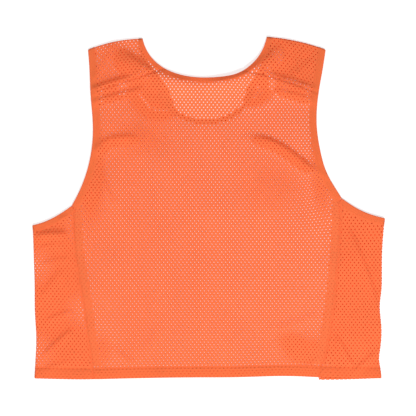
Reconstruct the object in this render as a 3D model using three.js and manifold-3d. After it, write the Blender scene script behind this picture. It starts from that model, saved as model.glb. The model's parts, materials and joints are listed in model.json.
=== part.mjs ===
// Blaze orange mesh vest, lying flat with its back upwards: millimetres, +Z up, +Y towards the neck.
// The origin is the middle of its underside. Two layers of cloth are joined round the side folds and
// the shoulder folds into one sleeveless tube, and that tube is cut along its seams into the pieces
// that are sewn together. The two side panels fold over onto the back along their seams.
import * as THREE from 'three';
import { mergeVertices } from 'three/addons/utils/BufferGeometryUtils.js';
import Module from 'manifold-3d';

const wasm = await Module();
wasm.setup();

// ---- Driving dimensions ----
const BODY_LENGTH = 622; // bottom edge to the neck points
const CHEST_WIDTH = 643; // between the underarm corners
const HEM_WIDTH = 635; // between the bottom corners
const WAIST_NIP = 5; // how far each side edge curves in between those corners
const NECK_WIDTH = 230; // between the neck points
const BACK_NECK_DEPTH = 71;
const FRONT_NECK_DEPTH = 148;
const NECK_LEAN = 10; // how far a neckline leans in as it leaves a neck point
const NECK_FALL = 0.65; // how steeply a neckline leaves a neck point, as a share of its depth
const NECK_FLAT = 0.54; // half width of a neckline's flat bottom, as a share of half its width
const SHOULDER_WIDTH = 434; // between the shoulder tips
const SHOULDER_DROP = 21; // from the neck point down to the shoulder tip
const SHOULDER_CROWN = 10; // lift of the shoulder curve's middle control point
const ARMHOLE_DEPTH = 336; // from the neck points down to the underarm corners
const ARM_LEAN = 10; // how far an armhole leans in as it leaves the shoulder tip
const ARM_FALL = 75; // and how far down it keeps to that line
const ARM_SCOOP = [-59, 94]; // the way an armhole comes down to the top of the side seam, from there
const ARM_SAG = [33, -23]; // and the way it leaves that point under the arm
const UNDERARM_RISE = 31; // from the underarm corner up to the top of the side seam
const SIDE_PANEL_TOP = 72.5; // side panel's width at the underarm
const SIDE_PANEL_BOTTOM = 106.5; // side panel's width at the bottom edge
const YOKE_DROP = 82; // back shoulder seam below the shoulder tip
const FRONT_YOKE_DROP = 104; // front shoulder seam below the shoulder tip
const YOKE_ANGLE = THREE.MathUtils.degToRad(19); // rise of the shoulder seams towards the neck
const HEM_DEPTH = 22;
const NECK_BAND = 8;
const ARM_BAND = 12;
const TAPE_WIDTH = 16;

// ---- Cloth, tape and thread ----
const CLOTH = 1.0; // one layer of mesh cloth
const TURNING = 0.5; // cloth turned in behind a hem
const TAPE = 0.5;
const THREAD = 0.3; // height of a row of stitches
const THREAD_WIDTH = 0.8;
const FOLD_WALL = 1.5; // cloth standing up round a side or shoulder fold
const GAP = 0.3; // clearance between pieces that are sewn together
const STITCH_INSET = 3; // a row of stitches from the edge of its band, hem or seam

// ---- Levels, from the table upwards ----
const FRONT_TAPE_Z = CLOTH + GAP;
const FRONT_THREAD_Z = FRONT_TAPE_Z + TAPE + GAP;
const BACK_TAPE_Z = FRONT_THREAD_Z + THREAD + GAP;
const BACK_Z = BACK_TAPE_Z + TAPE + GAP;
const TOP_Z = BACK_Z + CLOTH;
const BACK_THREAD_Z = TOP_Z + GAP;
const MIDDLE_Z = (FRONT_THREAD_Z + THREAD + BACK_TAPE_Z) / 2;

const REACH = 150; // cutting shapes run this far past the cloth
const CURVE_STEPS = 18;

// ---- Corners of the right half; the left half mirrors them ----
const topY = BODY_LENGTH / 2;
const neckPoint = new THREE.Vector2(NECK_WIDTH / 2, topY);
const shoulderTip = new THREE.Vector2(SHOULDER_WIDTH / 2, topY - SHOULDER_DROP);
const underarm = new THREE.Vector2(CHEST_WIDTH / 2, topY - ARMHOLE_DEPTH);
const seamTop = new THREE.Vector2(underarm.x - SIDE_PANEL_TOP, underarm.y + UNDERARM_RISE);
const hemCorner = new THREE.Vector2(HEM_WIDTH / 2, -topY);
const seamBottom = new THREE.Vector2(hemCorner.x - SIDE_PANEL_BOTTOM, -topY);
const hemTopY = -topY + HEM_DEPTH;

const colours = {
  cloth: new THREE.MeshStandardMaterial({ color: 0xfa794d, roughness: 0.85, metalness: 0 }),
  band: new THREE.MeshStandardMaterial({ color: 0xf8703f, roughness: 0.85, metalness: 0 }),
  tape: new THREE.MeshStandardMaterial({ color: 0xf56a3a, roughness: 0.8, metalness: 0 }),
  thread: new THREE.MeshStandardMaterial({ color: 0xf0632f, roughness: 0.6, metalness: 0 }),
};

// ---- Outline curves ----
const at = (x, y) => new THREE.Vector2(x, y);
const shifted = (point, x, y) => at(point.x + x, point.y + y);
const mirrored = (points) => points.map((p) => at(-p.x, p.y)).reverse();
const onSide = (points, side) => (side > 0 ? points : mirrored(points));

function shoulderCurve() {
  const crown = at((neckPoint.x + shoulderTip.x) / 2, (neckPoint.y + shoulderTip.y) / 2 + SHOULDER_CROWN);
  return new THREE.QuadraticBezierCurve(neckPoint, crown, shoulderTip).getPoints(CURVE_STEPS / 3);
}

// From the shoulder tip down to the side seam, then out under the arm to the corner.
function armholeCurve() {
  const upper = shifted(shoulderTip, -ARM_LEAN, -ARM_FALL);
  const lower = shifted(seamTop, ...ARM_SCOOP);
  const down = new THREE.CubicBezierCurve(shoulderTip, upper, lower, seamTop).getPoints(CURVE_STEPS);
  const sag = shifted(seamTop, ...ARM_SAG);
  const under = new THREE.QuadraticBezierCurve(seamTop, sag, underarm).getPoints(CURVE_STEPS / 3);
  return [...down, ...under.slice(1)];
}

function sideCurve() {
  const nip = at((underarm.x + hemCorner.x) / 2 - 2 * WAIST_NIP, (underarm.y + hemCorner.y) / 2);
  return new THREE.QuadraticBezierCurve(underarm, nip, hemCorner).getPoints(CURVE_STEPS / 3);
}

function neckCurve(depth) {
  const steep = shifted(neckPoint, -NECK_LEAN, -NECK_FALL * depth);
  const flat = at(NECK_FLAT * neckPoint.x, topY - depth);
  const middle = at(0, topY - depth);
  const right = new THREE.CubicBezierCurve(neckPoint, steep, flat, middle).getPoints(CURVE_STEPS);
  return [...right, ...mirrored(right).slice(1)];
}

// A line moved sideways by `distance`, to its right when it is walked from its first point.
function offset(points, distance) {
  return points.map((point, i) => {
    const before = points[Math.max(i - 1, 0)];
    const after = points[Math.min(i + 1, points.length - 1)];
    const into = point.clone().sub(before);
    const out = after.clone().sub(point);
    if (i === 0) into.copy(out);
    if (i === points.length - 1) out.copy(into);
    const along = into.normalize().add(out.normalize()).normalize();
    const mitre = distance / Math.max(Math.abs(along.dot(out)), 0.5);
    return shifted(point, along.y * mitre, -along.x * mitre);
  });
}

// A line with both ends run on straight, so that a cut made from it clears the cloth.
function extended(points, reach = REACH) {
  const beyond = (end, next) => end.clone().add(end.clone().sub(next).setLength(reach));
  const last = points.length - 1;
  return [beyond(points[0], points[1]), ...points, beyond(points[last], points[last - 1])];
}

// ---- Solids ----
function prism(points, low, high) {
  const shape = new THREE.Shape(points);
  const geometry = new THREE.ExtrudeGeometry(shape, { depth: high - low, bevelEnabled: false });
  geometry.translate(0, 0, low);
  geometry.deleteAttribute('normal');
  geometry.deleteAttribute('uv');
  const merged = mergeVertices(geometry);
  return new wasm.Manifold(new wasm.Mesh({
    numProp: 3,
    vertProperties: new Float32Array(merged.attributes.position.array),
    triVerts: new Uint32Array(merged.index.array),
  }));
}

function outlineSolid(low, high) {
  const right = [...shoulderCurve(), ...armholeCurve().slice(1), ...sideCurve().slice(1)];
  return prism([...right, ...mirrored(right)], low, high);
}

// The room between the layers: it stops at the side and shoulder folds and is open everywhere else.
function insideSolid(low, high) {
  const shoulder = extended(shoulderCurve().map((p) => shifted(p, 0, -FOLD_WALL)), neckPoint.x / 2);
  const side = extended(sideCurve().map((p) => shifted(p, -FOLD_WALL, 0)), UNDERARM_RISE);
  const right = [...shoulder, ...side];
  return prism([...right, ...mirrored(right)], low, high);
}

function neckCut(depth, grow, low, high) {
  return prism(extended(offset(neckCurve(depth), -grow)), low, high);
}

// Everything within `grow` of the armhole's edge on one side, and the open armhole itself.
function armholeCut(side, grow, low = -REACH, high = REACH) {
  const edge = extended(offset(armholeCurve(), grow));
  const outer = shoulderTip.x + CHEST_WIDTH;
  const region = [...edge, at(outer, edge[edge.length - 1].y), at(outer, edge[0].y)];
  return prism(onSide(region, side), low, high);
}

// Everything outside one side seam, `inward` millimetres nearer the middle than the seam itself.
function sideCut(side, inward, low = -REACH, high = REACH) {
  const seam = extended(offset([seamTop, seamBottom], inward));
  const outer = hemCorner.x + REACH;
  return prism(onSide([...seam, at(outer, seam[3].y), at(outer, seam[0].y)], side), low, high);
}

const yokeY = (drop, x) => shoulderTip.y - drop + (shoulderTip.x - x) * Math.tan(YOKE_ANGLE);

// Everything above the shoulder seams, `lift` millimetres above the seams themselves.
function yokeCut(drop, lift, low, high) {
  const outer = shoulderTip.x + REACH;
  const line = [at(-outer, yokeY(drop, outer)), at(0, yokeY(drop, 0)), at(outer, yokeY(drop, outer))];
  const top = topY + REACH;
  const raised = line.map((p) => shifted(p, 0, lift / Math.cos(YOKE_ANGLE)));
  return prism([...raised, at(outer, top), at(-outer, top)], low, high);
}

function boxSolid(x0, x1, y0, y1, z0 = -REACH, z1 = REACH) {
  return prism([at(x0, y0), at(x1, y0), at(x1, y1), at(x0, y1)], z0, z1);
}

const wide = CHEST_WIDTH;
const upper = () => boxSolid(-wide, wide, -wide, wide, MIDDLE_Z, TOP_Z + REACH);
const lower = () => boxSolid(-wide, wide, -wide, wide, -REACH, MIDDLE_Z);
const hemZone = (lift) => boxSolid(-wide, wide, -topY - REACH, hemTopY + lift);
const half = (side) => (side > 0 ? boxSolid(0, wide, -wide, wide) : boxSolid(-wide, 0, -wide, wide));

// The whole vest as one tube of cloth, open at the neck, the armholes and the bottom.
function clothTube(wall) {
  return outlineSolid(0, TOP_Z)
    .subtract(insideSolid(wall, TOP_Z - wall))
    .subtract(neckCut(BACK_NECK_DEPTH, 0, MIDDLE_Z, TOP_Z + REACH))
    .subtract(neckCut(FRONT_NECK_DEPTH, 0, -REACH, MIDDLE_Z));
}

const tube = clothTube(CLOTH);
const hemTube = clothTube(CLOTH + TURNING);

function neckZone(grow) {
  return neckCut(BACK_NECK_DEPTH, grow, MIDDLE_Z, TOP_Z + REACH)
    .add(neckCut(FRONT_NECK_DEPTH, grow, -REACH, MIDDLE_Z));
}

function yokeZone(lift) {
  return yokeCut(YOKE_DROP, lift, MIDDLE_Z, TOP_Z + REACH)
    .add(yokeCut(FRONT_YOKE_DROP, lift, -REACH, MIDDLE_Z));
}

const middleOnly = (solid) => solid.subtract(sideCut(1, GAP / 2)).subtract(sideCut(-1, GAP / 2));

// ---- Pieces of cloth ----
function bodyPanel(layer) {
  return middleOnly(tube.intersect(layer))
    .subtract(yokeZone(-GAP / 2))
    .subtract(neckZone(NECK_BAND + GAP / 2))
    .subtract(armholeCut(1, ARM_BAND + GAP / 2))
    .subtract(armholeCut(-1, ARM_BAND + GAP / 2))
    .subtract(hemZone(GAP / 2));
}

function sidePanel(side) {
  return tube.intersect(sideCut(side, -GAP / 2))
    .subtract(armholeCut(side, ARM_BAND + GAP / 2))
    .subtract(hemZone(GAP / 2));
}

function shoulderYoke(side) {
  return tube.intersect(half(side)).intersect(yokeZone(GAP / 2))
    .subtract(neckZone(NECK_BAND + GAP / 2))
    .subtract(armholeCut(side, ARM_BAND + GAP / 2));
}

const neckBinding = () => tube.intersect(neckZone(NECK_BAND - GAP / 2));
const armholeBand = (side) => tube.intersect(armholeCut(side, ARM_BAND - GAP / 2));
const armholeBinding = (side) => armholeBand(side).subtract(sideCut(side, GAP / 2));
const underarmHem = (side) => armholeBand(side).intersect(sideCut(side, -GAP / 2));
const bodyHem = (layer) => middleOnly(hemTube.intersect(hemZone(-GAP / 2)).intersect(layer));
const sideHem = (side) => hemTube.intersect(hemZone(-GAP / 2)).intersect(sideCut(side, -GAP / 2));

// A tape covers each side seam on its inner face, from the armhole binding down to the hem.
function seamTape(side, low) {
  return outlineSolid(low, low + TAPE)
    .intersect(sideCut(side, TAPE_WIDTH))
    .subtract(sideCut(side, GAP / 2))
    .subtract(armholeCut(side, ARM_BAND + GAP / 2))
    .subtract(hemZone(GAP / 2));
}

// ---- Rows of stitches ----
function stitchRow(points, low) {
  const left = offset(points, -THREAD_WIDTH / 2);
  const right = offset(points, THREAD_WIDTH / 2);
  return prism([...left, ...right.reverse()], low, low + THREAD);
}

const hemStitchY = hemTopY - STITCH_INSET;
const seamAt = (y) => seamBottom.x + ((seamTop.x - seamBottom.x) * (y + topY)) / (seamTop.y + topY);
const sideEdgeX = Math.min(underarm.x, hemCorner.x) - WAIST_NIP - FOLD_WALL - STITCH_INSET;

function neckStitches(depth, low) {
  return stitchRow(offset(neckCurve(depth), -(NECK_BAND - STITCH_INSET)).slice(2, -2), low);
}

function armholeStitches(side, low) {
  const edge = offset(armholeCurve(), ARM_BAND - STITCH_INSET);
  return stitchRow(onSide(edge.slice(1, CURVE_STEPS - 1), side), low);
}

function underarmStitches(side, low) {
  const edge = offset(armholeCurve(), ARM_BAND - STITCH_INSET);
  return stitchRow(onSide(edge.slice(CURVE_STEPS + 1, -1), side), low);
}

const bodyHemStitches = (low) => {
  const end = seamAt(hemStitchY) - STITCH_INSET;
  return stitchRow([at(-end, hemStitchY), at(end, hemStitchY)], low);
};

function sideHemStitches(side, low) {
  const start = seamAt(hemStitchY) + STITCH_INSET;
  return stitchRow(onSide([at(start, hemStitchY), at(sideEdgeX, hemStitchY)], side), low);
}

function seamStitches(side, low) {
  const row = offset([seamTop, seamBottom], STITCH_INSET);
  const direction = row[1].clone().sub(row[0]).normalize();
  const start = row[0].clone().addScaledVector(direction, 2 * ARM_BAND);
  const end = row[1].clone().addScaledVector(direction, -HEM_DEPTH - STITCH_INSET);
  return stitchRow(onSide([start, end], side), low);
}

function shoulderStitches(side, drop, depth, low) {
  const inner = neckCurve(depth).find((p) => p.y < yokeY(drop, p.x)).x + NECK_BAND + STITCH_INSET;
  const outer = shoulderTip.x - 2 * ARM_BAND;
  const row = [at(inner, yokeY(drop, inner) - STITCH_INSET), at(outer, yokeY(drop, outer) - STITCH_INSET)];
  return stitchRow(onSide(row, side), low);
}

// ---- The assembly ----
const vest = new THREE.Group();

function addPiece(name, material, solid) {
  const mesh = solid.getMesh();
  const geometry = new THREE.BufferGeometry();
  geometry.setAttribute('position', new THREE.BufferAttribute(new Float32Array(mesh.vertProperties), 3));
  geometry.setIndex([...mesh.triVerts]);
  geometry.computeVertexNormals();
  const piece = new THREE.Mesh(geometry, material);
  piece.name = name;
  vest.add(piece);
}

const back = { name: 'back', zone: upper, neck: BACK_NECK_DEPTH, yoke: YOKE_DROP };
const front = { name: 'front', zone: lower, neck: FRONT_NECK_DEPTH, yoke: FRONT_YOKE_DROP };
const layers = [
  { ...back, tape: BACK_TAPE_Z, thread: BACK_THREAD_Z },
  { ...front, tape: FRONT_TAPE_Z, thread: FRONT_THREAD_Z },
];
const sides = [{ name: 'left', sign: -1 }, { name: 'right', sign: 1 }];

addPiece('neck_binding', colours.band, neckBinding());
for (const layer of layers) {
  addPiece(`${layer.name}_panel`, colours.cloth, bodyPanel(layer.zone()));
  addPiece(`${layer.name}_hem`, colours.band, bodyHem(layer.zone()));
  addPiece(`${layer.name}_hem_stitching`, colours.thread, bodyHemStitches(layer.thread));
  addPiece(`${layer.name}_neck_stitching`, colours.thread, neckStitches(layer.neck, layer.thread));
}
for (const { name, sign } of sides) {
  addPiece(`${name}_side_panel`, colours.cloth, sidePanel(sign));
  addPiece(`${name}_shoulder_yoke`, colours.cloth, shoulderYoke(sign));
  addPiece(`${name}_armhole_binding`, colours.band, armholeBinding(sign));
  addPiece(`${name}_underarm_hem`, colours.band, underarmHem(sign));
  addPiece(`${name}_side_hem`, colours.band, sideHem(sign));
  for (const layer of layers) {
    const place = `${name}_${layer.name}`;
    addPiece(`${place}_seam_tape`, colours.tape, seamTape(sign, layer.tape));
    addPiece(`${place}_seam_stitching`, colours.thread, seamStitches(sign, layer.thread));
    addPiece(`${place}_armhole_stitching`, colours.thread, armholeStitches(sign, layer.thread));
    addPiece(`${place}_underarm_stitching`, colours.thread, underarmStitches(sign, layer.thread));
    addPiece(`${place}_side_hem_stitching`, colours.thread, sideHemStitches(sign, layer.thread));
    const row = shoulderStitches(sign, layer.yoke, layer.neck, layer.thread);
    addPiece(`${place}_shoulder_stitching`, colours.thread, row);
  }
}

export default vest;
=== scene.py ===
"""Blaze orange mesh vest, laid flat with its back upwards, built around its CAD frame.

Each piece is cut flat in the vest's own pattern, in millimetres, folded round the side or the shoulder
where the real cloth is, and then laid down by one function that gives the vest its creases.
"""

import json
import math

import bmesh
import bpy
import numpy as np
from bpy.props import FloatProperty, FloatVectorProperty, PointerProperty
from mathutils import Matrix, Vector


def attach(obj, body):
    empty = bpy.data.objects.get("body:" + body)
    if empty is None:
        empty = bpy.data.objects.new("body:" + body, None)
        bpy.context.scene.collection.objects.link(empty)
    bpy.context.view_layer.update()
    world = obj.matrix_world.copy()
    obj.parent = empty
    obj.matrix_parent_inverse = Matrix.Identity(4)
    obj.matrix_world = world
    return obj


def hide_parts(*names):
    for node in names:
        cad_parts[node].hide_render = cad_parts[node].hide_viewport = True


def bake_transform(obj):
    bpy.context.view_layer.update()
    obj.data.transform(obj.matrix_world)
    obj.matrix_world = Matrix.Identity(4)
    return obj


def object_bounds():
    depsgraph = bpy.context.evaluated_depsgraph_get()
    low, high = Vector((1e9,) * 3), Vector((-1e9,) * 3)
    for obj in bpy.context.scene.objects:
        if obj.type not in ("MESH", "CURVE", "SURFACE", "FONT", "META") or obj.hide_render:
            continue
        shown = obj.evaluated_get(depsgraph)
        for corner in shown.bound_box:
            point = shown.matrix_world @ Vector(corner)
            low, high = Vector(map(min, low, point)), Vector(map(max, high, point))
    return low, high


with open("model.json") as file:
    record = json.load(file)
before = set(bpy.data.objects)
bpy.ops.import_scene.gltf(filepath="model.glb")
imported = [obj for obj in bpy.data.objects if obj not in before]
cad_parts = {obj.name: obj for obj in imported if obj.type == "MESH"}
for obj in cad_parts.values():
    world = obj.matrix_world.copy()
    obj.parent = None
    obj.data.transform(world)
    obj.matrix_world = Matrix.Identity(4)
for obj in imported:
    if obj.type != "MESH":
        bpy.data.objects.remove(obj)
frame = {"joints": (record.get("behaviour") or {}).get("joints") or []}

bl_info = {
    "name": "Mesh Vest",
    "version": (1, 0, 0),
    "blender": (4, 5, 0),
    "location": "3D View > Sidebar > Vest",
    "description": "Cuts, folds, sews and lays out a blaze orange mesh vest",
    "category": "Object",
}

MM = 0.001
CAD_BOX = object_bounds()
LEFT, RIGHT = -1, 1
SIDES = {"left": LEFT, "right": RIGHT}
LAYERS = ("back", "front")
ROOT = "vest_body"

# ---- The pattern's corners, right half, in millimetres ----
TOP_Y = CAD_BOX[1].y / MM
HALF_CHEST = CAD_BOX[1].x / MM
NECK_POINT = (115.0, TOP_Y)
SHOULDER_TIP = (217.0, TOP_Y - 21)
UNDERARM = (HALF_CHEST, TOP_Y - 336)
SEAM_TOP = (HALF_CHEST - 72.5, UNDERARM[1] + 31)
HEM_CORNER = (317.5, -TOP_Y)
SEAM_BOTTOM = (HEM_CORNER[0] - 106.5, -TOP_Y)
HEM_DEPTH = 22.0
HEM_TOP = HEM_DEPTH - TOP_Y
NECK_DEPTH = {"back": 71.0, "front": 148.0}
YOKE_DROP = {"back": 82.0, "front": 104.0}
YOKE_SLOPE = math.tan(math.radians(19))
NECK_BAND = 8.0
ARM_BAND = 12.0
TAPE_WIDTH = 16.0
STITCH_INSET = 3.0
SIDE_ROW_END = 6.0  # how far a side hem's stitches stop short of the side
YOKE_ROW_GAPS = (2.0, 8.0)  # from the neck's and the armhole's binding to the ends of a shoulder row
SEAM_LAP = 1.6  # how far a tape reaches past its seam
BINDING_PROUD = 0.45  # how far a binding stands out from the cloth that it covers
BINDING_THICK = 1.5

# ---- Cutting allowances of the mesh cloth, which ends under a binding or is trimmed at a seam ----
NECK_CLEAR = 4.2
ARM_CLEAR = 6.0
MARGIN = 6.0
YOKE_INNER = 40.0  # how near the middle of the vest a yoke's cloth reaches before it is trimmed
YOKE_MARGIN = 20.0
HEM_OVERHANG = 11.0
SIDE_HEM_MARGIN = 8.0
HEM_SHORT = 1.0  # how much shorter the turned-up cloth of a hem is than the hem

# ---- Levels of the two layers' outer faces ----
Z_FRONT = 0.6
Z_BACK = 3.8
Z_MIDDLE = (Z_FRONT + Z_BACK) / 2
FOLD_RADIUS = (Z_BACK - Z_FRONT) / 2
QUARTER_FOLD = math.pi / 2 * FOLD_RADIUS
FOLD_SLACK = QUARTER_FOLD - FOLD_RADIUS
HEM_FOLD = 0.35
TAPE_LEVEL = -0.85  # a tape's level, under the cloth's outer face
TAPE_WAVE = 0.15
PATH_STEP = 4.0  # between the points of a line that a strip follows


# ---- Outline curves ----
def bezier(points, steps=24):
    """Points along the Bezier curve that has these control points."""
    t = np.linspace(0, 1, steps + 1)[:, None]
    level = [np.array(p, float) + 0 * t for p in points]
    while len(level) > 1:
        level = [a * (1 - t) + b * t for a, b in zip(level, level[1:])]
    return level[0]


def near(point, x, y):
    """A place beside another."""
    return (point[0] + x, point[1] + y)


SHOULDER = bezier([NECK_POINT, (166.0, TOP_Y - 0.5), SHOULDER_TIP])
SIDE = bezier([UNDERARM, (309.5, (UNDERARM[1] - TOP_Y) / 2), HEM_CORNER])
ARMHOLE = bezier([SHOULDER_TIP, near(SHOULDER_TIP, -10, -75), near(SEAM_TOP, -59, 94), SEAM_TOP])
UNDER = bezier([SEAM_TOP, near(SEAM_TOP, 33, -23), UNDERARM])
SHOULDER_END = SHOULDER[-1] - SHOULDER[-4]
SHOULDER_FALL = SHOULDER_END[1] / SHOULDER_END[0]


def neck_curve(layer):
    """The right half of a neckline, from the neck point to the middle."""
    depth = NECK_DEPTH[layer]
    steep = near(NECK_POINT, -10, -0.65 * depth)
    return bezier([NECK_POINT, steep, (0.54 * NECK_POINT[0], TOP_Y - depth), (0.0, TOP_Y - depth)])


def shoulder_y(x):
    """Where the shoulder fold lies above a place across the vest."""
    x = np.abs(x)
    past_tip = np.maximum(x - SHOULDER_TIP[0], 0)
    return np.interp(x, SHOULDER[:, 0], SHOULDER[:, 1]) + past_tip * SHOULDER_FALL


def side_x(y):
    """How far out the side fold lies at a height on the vest."""
    return np.interp(y, SIDE[::-1, 1], SIDE[::-1, 0])


def seam_x(y):
    """How far out the side seam lies at a height on the vest."""
    share = (y + TOP_Y) / (SEAM_TOP[1] + TOP_Y)
    return SEAM_BOTTOM[0] + (SEAM_TOP[0] - SEAM_BOTTOM[0]) * share


def yoke_y(x, layer):
    """Where a layer's shoulder seam lies at a place across the vest."""
    return SHOULDER_TIP[1] - YOKE_DROP[layer] + (SHOULDER_TIP[0] - np.abs(x)) * YOKE_SLOPE


def flipped(line, side):
    """A line of the right half, on the side given."""
    return line * (side, 1)


def over_shoulder(line):
    """A line on the front layer, unfolded over the shoulder into the back's plane."""
    return np.column_stack([line[:, 0], 2 * shoulder_y(line[:, 0]) - line[:, 1] + 2 * FOLD_SLACK])


def round_side(line):
    """A line on the right half of the front layer, unfolded round the side into the back's plane."""
    return np.column_stack([2 * side_x(line[:, 1]) - line[:, 0] + 2 * FOLD_SLACK, line[:, 1]])


def joined(*lines):
    """Lines that meet end to end, as one line."""
    return np.vstack([lines[0]] + [line[1:] for line in lines[1:]])


def walk(line):
    """How far along a line each of its points is."""
    return np.concatenate([[0], np.cumsum(np.hypot(*np.diff(line, axis=0).T))])


def evenly(line, step):
    """The same line with its points about `step` apart."""
    reach = walk(line)
    at = np.linspace(0, reach[-1], max(2, round(reach[-1] / step) + 1))
    return np.column_stack([np.interp(at, reach, line[:, i]) for i in (0, 1)])


def normals_of(line, loop=False):
    """Unit vectors to the right of a line as it is walked."""
    if loop:
        way = np.roll(line, -1, 0) - np.roll(line, 1, 0)
    else:
        way = np.gradient(line, axis=0)
    way /= np.hypot(*way.T)[:, None]
    return np.column_stack([way[:, 1], -way[:, 0]])


def inside(points, outline):
    """Which points lie inside a closed outline."""
    x, y = points.T
    found = np.zeros(len(x), bool)
    for (x0, y0), (x1, y1) in zip(outline, np.roll(outline, -1, 0)):
        if y0 != y1:
            found ^= ((y0 > y) != (y1 > y)) & (x < (x1 - x0) * (y - y0) / (y1 - y0) + x0)
    return found


# ---- The unfolded neckline and armholes, as closed outlines ----
def neck_outline():
    """Round the neckline: the back's, and the front's beyond the shoulders."""
    back = neck_curve("back")
    front = over_shoulder(neck_curve("front"))
    right = joined(back[::-1], front)
    return np.vstack([right, flipped(right[::-1], LEFT)[1:-1]])


def armhole_line():
    """Up the right armhole on the back, over the shoulder and down it on the front."""
    return joined(ARMHOLE[::-1], over_shoulder(ARMHOLE))


def grown(outline, distance):
    """A closed outline, moved outwards."""
    return outline + normals_of(outline, loop=True) * distance


def armhole_outline(side, distance):
    """All that lies beyond an armhole's line, grown inwards by a distance, below and above it too."""
    line = armhole_line()
    line = line - normals_of(line) * distance
    far = 3 * HALF_CHEST
    below = [(far, -far), (line[0, 0], -far)]
    above = [(line[-1, 0], far), (far, far)]
    return flipped(np.vstack([below, line, above]), side)


# ---- Folding a flat piece into place ----
def turn(distance, height):
    """Bends a sheet round a fold: its reach from the fold's line, and its level."""
    angle = np.clip(distance / FOLD_RADIUS, -math.pi / 2, math.pi / 2)
    radius = FOLD_RADIUS + height
    reach = radius * np.cos(angle) - FOLD_RADIUS
    level = Z_MIDDLE - radius * np.sin(angle)
    return reach - np.maximum(np.abs(distance) - QUARTER_FOLD, 0), level


def beyond_side(p, side):
    """From a pattern whose x runs outwards from the side fold to the unfolded vest."""
    return np.column_stack([side * (side_x(p[:, 1]) + FOLD_SLACK + p[:, 0]), p[:, 1:]])


def beyond_shoulder(p, side):
    """From a pattern whose y runs outwards from the shoulder fold to the unfolded vest."""
    x = side * p[:, 0]
    return np.column_stack([x, shoulder_y(x) + FOLD_SLACK + p[:, 1], p[:, 2:]])


def place_back(p):
    """Lays a pattern flat in the back layer."""
    return np.column_stack([p[:, 0], p[:, 1], Z_BACK + p[:, 2]])


def place_front(p):
    """Lays a pattern flat in the front layer, with its outer face down."""
    return np.column_stack([p[:, 0], p[:, 1], Z_FRONT - p[:, 2]])


def place_round_side(p):
    """Folds a pattern round the side fold that it reaches past."""
    side = np.sign(p[:, 0])
    edge = side_x(p[:, 1])
    reach, level = turn(np.abs(p[:, 0]) - edge - FOLD_SLACK, p[:, 2])
    return np.column_stack([side * (edge + reach), p[:, 1], level])


def place_over_shoulder(p):
    """Folds a pattern over the shoulder fold that it reaches past."""
    edge = shoulder_y(p[:, 0])
    reach, level = turn(p[:, 1] - edge - FOLD_SLACK, p[:, 2])
    return np.column_stack([p[:, 0], edge + reach, level])


def turn_hem_up(p):
    """Folds what lies below the bottom edge up behind the hem."""
    below = -TOP_Y - p[:, 1]
    angle = np.clip(below / HEM_FOLD, 0, math.pi)
    up = np.maximum(below - math.pi * HEM_FOLD, 0)
    y = np.where(below > 0, -TOP_Y - HEM_FOLD * np.sin(angle) + up, p[:, 1])
    depth = np.where(below > 0, HEM_FOLD * (1 - np.cos(angle)), 0)
    return np.column_stack([p[:, 0], y, p[:, 2] * np.cos(angle) - depth])


# ---- How the vest lies ----
# Places where the cloth has been nudged along the table: x, y, spread, and the move in x and y.
NUDGES = (
    (0, 300, 190, -6.5, -1.5),
    (246, 14, 52, -4, 12),
    (322, -20, 40, 2, 5.5),
    (-318, -28, 70, 1.5, -6.5),
    (108, 312, 40, -3, 3),
    (70, 256, 34, -4, -4),
    (140, -311, 80, 0, 4),
    (-20, -311, 90, 0, 1.5),
    (-230, -311, 70, 0, -2),
    (208, -300, 26, -9, 0),
    (-250, -90, 70, -5, 0),
    (-215, -285, 30, 2, 0),
    (234, -170, 70, 3, 0),
    (-210, 206, 60, -5, 0),
    (204, 150, 60, -7, 0),
    (206, 210, 40, -2, 0),
    (190, 62, 50, -6, 0),
    (-316, -195, 50, -2.5, 0),
    (-316, -235, 40, 2, 0),
    (318, -150, 60, 2.5, 0),
    (318, -178, 24, -3, 0),
    (316, -228, 26, 2, 0),
    (318, -276, 18, -3, 0),
)

# Places where the front layer has slipped under the back one, so that their holes don't line up: x, y,
# spread across and along, and the slip in x and y.
SLIPS = (
    (-88, 224, 38, 42, 22, -4),
    (84, 232, 36, 36, -15, -3),
    (-214, 78, 22, 90, 2.6, 0.8),
    (214, 60, 22, 90, -2.2, 0.8),
    (188, -268, 44, 26, 2.0, 1.4),
    (-196, -258, 30, 40, -2.4, 0.6),
    (150, -244, 24, 20, 1.4, 0.4),
    (120, 40, 60, 50, 0.7, 0.3),
    (-120, 130, 50, 30, 0.8, 0.5),
)
CREASE_SLIP = 1.2  # how far the front layer slips for each millimetre of a tall crease in the back one
HALF_PITCH = 3.5
STILL = 1.5  # a slip under this one leaves room for a crease's
FLAT_TOP = 1.4  # the power that makes a slip even over its middle
TALLEST = 9.9  # the highest that the back layer stands, and how softly it comes to that height
SOFTNESS = 0.7
FRONT_SHARE = 0.12  # how much of the back layer's height the front one takes up
RESTING = 0.2
LOWEST = 0.06
RIM_WIDTH = 14.0  # half the width of the strip along a side seam that is held down, and how firmly it is
RIM_HOLD = 0.75

# Broad places where the back layer stands off the front one: x, y, spread across and along, height.
SWELLS = (
    (-112, 240, 62, 30, 1.0),
    (108, 245, 52, 30, 1.0),
    (165, 100, 74, 40, 1.6),
    (-170, 126, 56, 46, 1.2),
    (-285, -60, 44, 40, 1.8),
    (-278, -150, 40, 60, 1.4),
    (-274, -255, 44, 40, 2.0),
    (280, -130, 36, 90, 2.0),
    (262, -252, 52, 40, 2.4),
    (0, 60, 150, 120, 0.8),
    (120, -215, 90, 50, 1.4),
    (-140, -250, 60, 40, 1.2),
    (170, 208, 54, 24, 1.2),
    (-170, 200, 54, 24, 1.2),
)

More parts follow.
